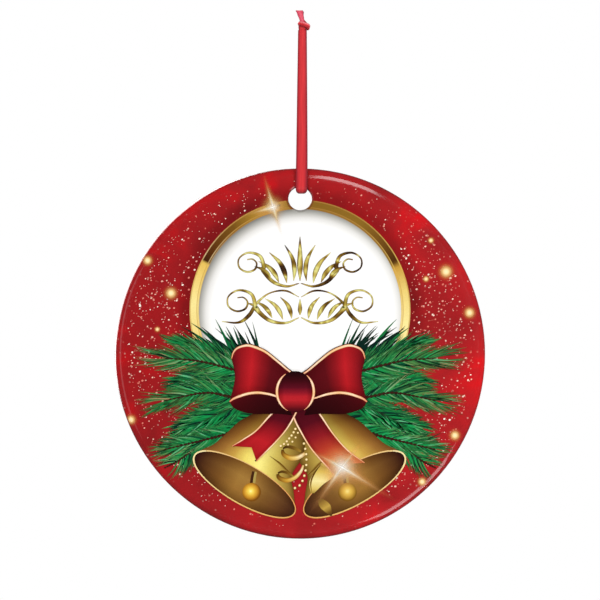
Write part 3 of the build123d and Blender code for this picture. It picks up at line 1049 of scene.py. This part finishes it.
def satin(name, colours, shade=()):
    # Woven satin ribbon: fine warp threads run its length and give it a soft, streaky sheen,
    # and painted shade darkens its edges. The threads are drawn at 0.16 mm, about twice real size.
    material, tree, shader = newMaterial(name, Roughness=0.45, Sheen_Weight=0.15, Sheen_Roughness=0.4,
                                         Specular_IOR_Level=0.15, Anisotropic=0.5)
    split = uvSplit(tree)
    colour = addNode(tree, "ValToRGB", [split.outputs["X"]], colours)
    if shade:
        turn = addNode(tree, "ValToRGB", [split.outputs["Y"]], shade)
        colour = addNode(tree, "VectorMath", [colour, turn], operation="MULTIPLY")
    coordinates = addNode(tree, "TexCoord")
    threads = []
    for across, along, detail in (ribbon["warp"], ribbon["weft"]):
        space = addNode(tree, "Mapping", {"Vector": coordinates.outputs["UV"],
                                          "Scale": (ribbon["width"] / across, ribbon["length"] / along, 1)})
        threads.append(addNode(tree, "TexNoise", {"Vector": space, "Scale": 1.0, "Detail": detail}))
    tone = addNode(tree, "MapRange", [threads[0], 0.3, 0.7, 0.82, 1.08])
    colour = addNode(tree, "VectorMath", [colour, tone], operation="MULTIPLY")
    tree.links.new(colour.outputs["Vector"], shader.inputs["Base Color"])
    both = addNode(tree, "Math", threads, operation="ADD")
    bump = addNode(tree, "Bump", {"Height": both, "Strength": 0.35, "Distance": 0.04 * mm})
    tree.links.new(bump.outputs["Normal"], shader.inputs["Normal"])
    return material


def routeLine(points):  # the ribbon's middle line: one smooth spline with the route as its control points
    curve = bpy.data.curves.new("route", "CURVE")
    curve.dimensions = "3D"
    spline = curve.splines.new("NURBS")
    spline.points.add(len(points) - 1)
    for point, place in zip(spline.points, points):
        point.co = (*[c * mm for c in place], 1)
    spline.order_u = 3
    spline.use_endpoint_u = True
    spline.resolution_u = 16
    holder = bpy.data.objects.new("route", curve)
    mesh = bpy.data.meshes.new_from_object(holder)
    line = [vertex.co.copy() for vertex in mesh.vertices]
    bpy.data.objects.remove(holder)
    bpy.data.meshes.remove(mesh)
    return line


def ribbonStrip(line, widthAt, cupAt, name):
    # a band along a line that lies in the loop's own plane; its width runs along X
    rows = len(line) - 1
    along = [0.0]
    for p, q in zip(line, line[1:]):
        along.append(along[-1] + (q - p).length)

    def placeAt(across, row):
        ahead = (line[min(row + 1, rows)] - line[max(row - 1, 0)]).normalized()
        outward = ahead.cross(Vector((1, 0, 0))).normalized()
        share = along[row] / along[-1]
        side = 2 * across - 1
        half = widthAt(share) * mm / 2
        return line[row] + Vector((side * half, 0, 0)) - outward * cupAt(share) * mm * (side * side - 0.33)
    piece = shapedGrid(12, rows, placeAt)
    for loop in piece.data.uv_layers.active.data:  # the UV's Y follows the ribbon's length
        loop.uv.y = along[round(loop.uv.y * rows)] / along[-1]
    solid = piece.modifiers.new("cloth", "SOLIDIFY")
    solid.thickness = ribbon["thickness"] * mm
    solid.offset = 0
    selvedge = piece.modifiers.new("selvedge", "BEVEL")
    selvedge.width = 0.07 * mm
    selvedge.segments = 2
    selvedge.limit_method = "ANGLE"
    applyModifiers(piece)
    bpy.ops.object.shade_smooth_by_angle(angle=math.radians(50))
    piece.name = name
    return piece


def loopWidth(share):  # drawn in towards the knot, with rounded corners where it turns through the hole
    spread = max(0, abs(2 * share - 1) * 1.15 - 0.15) ** 1.2
    width = ribbon["width"] + (ribbon["pinched"] - ribbon["width"]) * spread
    up = 0.195 * (abs(share - 0.5) * ribbon["length"]) ** 2  # height above the loop's lowest point
    short = max(0, 1 - up / ribbon["corner"])
    return width - 2 * ribbon["corner"] * (1 - math.sqrt(1 - short ** 2))


def loopCup(share):  # flat in the hole, and cupped across towards the knot
    return ribbon["cup"] * abs(2 * share - 1) ** 1.5


satinCloth = satin("red polyester satin", ribbon["colours"])
satinLoop = satin("red polyester satin, long loop", ribbon["colours"], ribbon["turnShade"])
# the tails' satin carries painted sheen and painted edge shade
satinEnds = satin("red polyester satin, tails with painted sheen", ribbon["tailSheenColours"])
line = routeLine(ribbon["route"])
loopPiece = ribbonStrip(line, loopWidth, loopCup, "ribbonLoop")
loopPiece.data.materials.clear()
loopPiece.data.materials.append(satinLoop)
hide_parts("ribbon_loop")
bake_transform(loopPiece)
report("ribbon loop")

# Knot and tails
knotted = {
    "band": {"middle": (0.74, 0, 1.12), "radii": (0.9, 0.74), "section": (0.34, 0.5), "tilt": 15},
    "heights": [(-0.35, 0.52, 0.84), (0.6, 0.54, 0.86), (1.15, 0.66, 0.92), (1.7, 0.56, 0.72),
                (2.15, 0.42, 0.46),
                (2.5, 0.34, 0.34)],  # height, middle and half width of the cloth that the band is tied over
    # up the wrapped band: painted shade low on it and a painted pink highlight near its top
    "bandColours": [(0.0, "#861620"), (0.3, "#B4222A"), (0.52, "#CC2C32"), (0.7, "#E8626A"),
                    (0.84, "#F28A90"),
                    (1.0, "#B83A42")],
}


def wrapBand(spec, creases, seed):
    # one turn of ribbon round the knot: a torus drawn in to a tight, creased band
    bpy.ops.mesh.primitive_torus_add(major_segments=64, minor_segments=20, major_radius=1, minor_radius=0.4)
    piece = bpy.context.active_object
    draw = random.Random(seed)
    phase = [draw.uniform(0, 6.28) for _ in range(2)]
    turn = Matrix.Rotation(math.radians(spec["tilt"]), 3, "Y")
    for loop in piece.data.loops:  # the UV's X runs up the band, for its folded highlight
        height = piece.data.vertices[loop.vertex_index].co.z / 0.8 + 0.5
        piece.data.uv_layers.active.data[loop.index].uv.x = height
    for vertex in piece.data.vertices:
        x, y, z = vertex.co
        angle = math.atan2(y, x)
        reach = (math.hypot(x, y) - 1) / 0.4
        height = z / 0.4
        crease = 1 + creases * math.sin(height * 5.5 + 1.6 * math.sin(angle + phase[0]) + phase[1])
        out = 1 + reach * spec["section"][0] * crease / spec["radii"][0]
        point = max(0, math.cos(angle))  # the band folds to a point on the right
        spot = Vector((math.cos(angle) * spec["radii"][0] * out * (1 + 0.16 * point ** 6),
                       math.sin(angle) * spec["radii"][1] * out,
                       height * spec["section"][1] * (1 + 0.4 * point ** 4) - 0.24 * point ** 4))
        vertex.co = (turn @ spot + Vector(spec["middle"])) * mm
    piece.data.update()
    smooth = piece.modifiers.new("smooth", "SUBSURF")
    smooth.levels = smooth.render_levels = 1
    applyModifiers(piece)
    bpy.ops.object.shade_smooth()
    return piece


def gather(heights):
    # the ribbon's two runs drawn together through the knot, flat and pleated, and narrowing to the tails
    bpy.ops.mesh.primitive_uv_sphere_add(segments=40, ring_count=28, radius=1)
    piece = bpy.context.active_object
    for loop in piece.data.loops:  # the UV's X runs straight across, as on the ribbon
        local = piece.data.vertices[loop.vertex_index].co
        piece.data.uv_layers.active.data[loop.index].uv.x = 0.5 + 0.5 * math.cos(math.atan2(local.y, local.x))
    for vertex in piece.data.vertices:
        x, y, z = vertex.co
        angle = math.atan2(y, x)
        height = heights[0][0] + (heights[-1][0] - heights[0][0]) * (z + 1) / 2
        k = max(i for i in range(len(heights) - 1) if heights[i][0] <= height + 1e-6)
        part = (height - heights[k][0]) / (heights[k + 1][0] - heights[k][0])
        middle, half = [a + (b - a) * part for a, b in zip(heights[k][1:], heights[k + 1][1:])]
        out = max(1 - z * z, 0) ** 0.12 * (1 + 0.07 * math.cos(9 * angle)) if abs(z) < 0.999 else 0
        across, depth = out * math.cos(angle) * half, out * math.sin(angle) * half * 0.4
        vertex.co = Vector((middle + across, depth, height)) * mm
    only(piece)
    bpy.ops.object.shade_smooth()
    return piece


band = wrapBand(knotted["band"], 0.10, 3)
band.data.materials.append(satin("red polyester satin, folded over", knotted["bandColours"]))
bundle = gather(knotted["heights"])
bundle.data.materials.append(satinCloth)
knotPiece = joined([band, bundle], "ribbonKnot")
knotPiece.data.name = "ribbonKnot"
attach(knotPiece, "knot")
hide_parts("ribbon_knot")

for name, node, depth, topU, topZ in (("ribbonTailFront", "ribbon_tail_front", -0.22, -0.15, 4.0),
                                      ("ribbonTailBack", "ribbon_tail_back", 0.22, 0.05, 3.85)):
    tailLine = [Vector(p) * mm for p in ((0.6, depth, 1.3), (0.45, depth, 1.9), (0.3, depth * 1.2, 2.5),
                                         (0.1, depth * 1.7, 3.2), (topU, depth * 2.4, topZ))]
    fine = [p.lerp(q, i / 4) for p, q in zip(tailLine, tailLine[1:]) for i in range(4)] + [tailLine[-1]]
    piece = ribbonStrip(fine, lambda share: 0.75 + 0.75 * share ** 1.6,
                        lambda share, d=depth: math.copysign(0.25 - 0.1 * share, d), name)
    finishPiece(piece, name, satinEnds, "knot")
    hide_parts(node)
report("knot and tails")

# Studio
view = {"width": 122.8, "lens": 135.0, "sensor": 36.0, "aimDown": 55.4}
cameraData = bpy.data.cameras.new("camera")
cameraData.lens = view["lens"]
cameraData.sensor_width = view["sensor"]
camera = addObject("camera", cameraData)
distance = view["lens"] / view["sensor"] * view["width"] - disc["faceY"]
camera.location = (0, -distance * mm, -view["aimDown"] * mm)
camera.rotation_euler = (math.pi / 2, 0, 0)
cameraData.clip_start, cameraData.clip_end = 0.01, 20
bpy.context.scene.camera = camera

# A light stands at an azimuth round the disc's axis (0 is right, 90 is up), at an angle off that axis, and
# this far away. Some only shine in the glaze, as the streaks on its rim; the fill lights only light the print.
lights = [
    {"name": "upperStreak", "at": (74, 35, 400), "size": (78, 120), "power": 0.21, "gloss": True},
    {"name": "lowerStreak", "at": (-51, 62, 400), "size": (200, 380), "power": 1.1, "gloss": True},
    {"name": "leftBand", "at": (180, 50, 500), "size": (360, 240), "power": 0.3, "gloss": True},
    {"name": "fillLeft", "at": (150, 40, 520), "size": (300, 300), "power": 1.22, "gloss": False},
    {"name": "fillRight", "at": (20, 40, 520), "size": (300, 300), "power": 1.42, "gloss": False},
    {"name": "fillLow", "at": (-90, 45, 520), "size": (300, 300), "power": 0.9, "gloss": False},
    {"name": "sideLeft", "at": (180, 93, 520), "size": (300, 300), "power": 0.8, "gloss": False},
    {"name": "sideRight", "at": (0, 93, 520), "size": (300, 300), "power": 0.8, "gloss": False},
    {"name": "behind", "at": (150, 140, 520), "size": (420, 420), "power": 2.6},
]


def softbox(spec):
    data = bpy.data.lights.new(spec["name"], "AREA")
    data.shape = "RECTANGLE"
    data.size, data.size_y = [s * mm for s in spec["size"]]  # along the rim, and across it
    data.energy = spec["power"]
    light = addObject(spec["name"], data)
    azimuth, off = [math.radians(angle) for angle in spec["at"][:2]]
    out = Vector((math.sin(off) * math.cos(azimuth), -math.cos(off), math.sin(off) * math.sin(azimuth)))
    side = Vector((-math.sin(azimuth), 0, math.cos(azimuth)))
    turn = Matrix((side, out.cross(side), out)).transposed()
    light.matrix_world = Matrix.Translation(disc["middle"] + out * spec["at"][2] * mm) @ turn.to_4x4()
    light.visible_glossy = spec.get("gloss", True)
    light.visible_diffuse = not spec.get("gloss", False)


for spec in lights:
    softbox(spec)
world = bpy.data.worlds.new("studio")
bpy.context.scene.world = world
world.use_nodes = True
sky = world.node_tree
background = sky.nodes["Background"]
rays = addNode(sky, "LightPath")
# white behind the ornament, dim in its gloss, and in between as light on the print
soft = addNode(sky, "MapRange", {"Value": rays.outputs["Is Diffuse Ray"], "To Min": 0.06, "To Max": 0.35})
level = addNode(sky, "Math", [soft, rays.outputs["Is Camera Ray"]], operation="MAXIMUM")
sky.links.new(level.outputs["Value"], background.inputs["Strength"])
background.inputs["Color"].default_value = (1, 1, 1, 1)

bpy.ops.mesh.primitive_circle_add(vertices=96, radius=0.9, fill_type="NGON",
                                  location=(0, 0, disc["middle"].z - 0.3))
floor = bpy.context.active_object
floor.name = "floor"
paper = newMaterial("matt white paper", Roughness=0.9, Base_Color=linear("#F4F3F1"),
                    Emission_Color=(1, 1, 1, 1), Emission_Strength=0.8)[0]
floor.data.materials.append(paper)
floor.visible_glossy = False
floor.visible_diffuse = False
bpy.context.scene.view_settings.view_transform = "Standard"
report("studio")
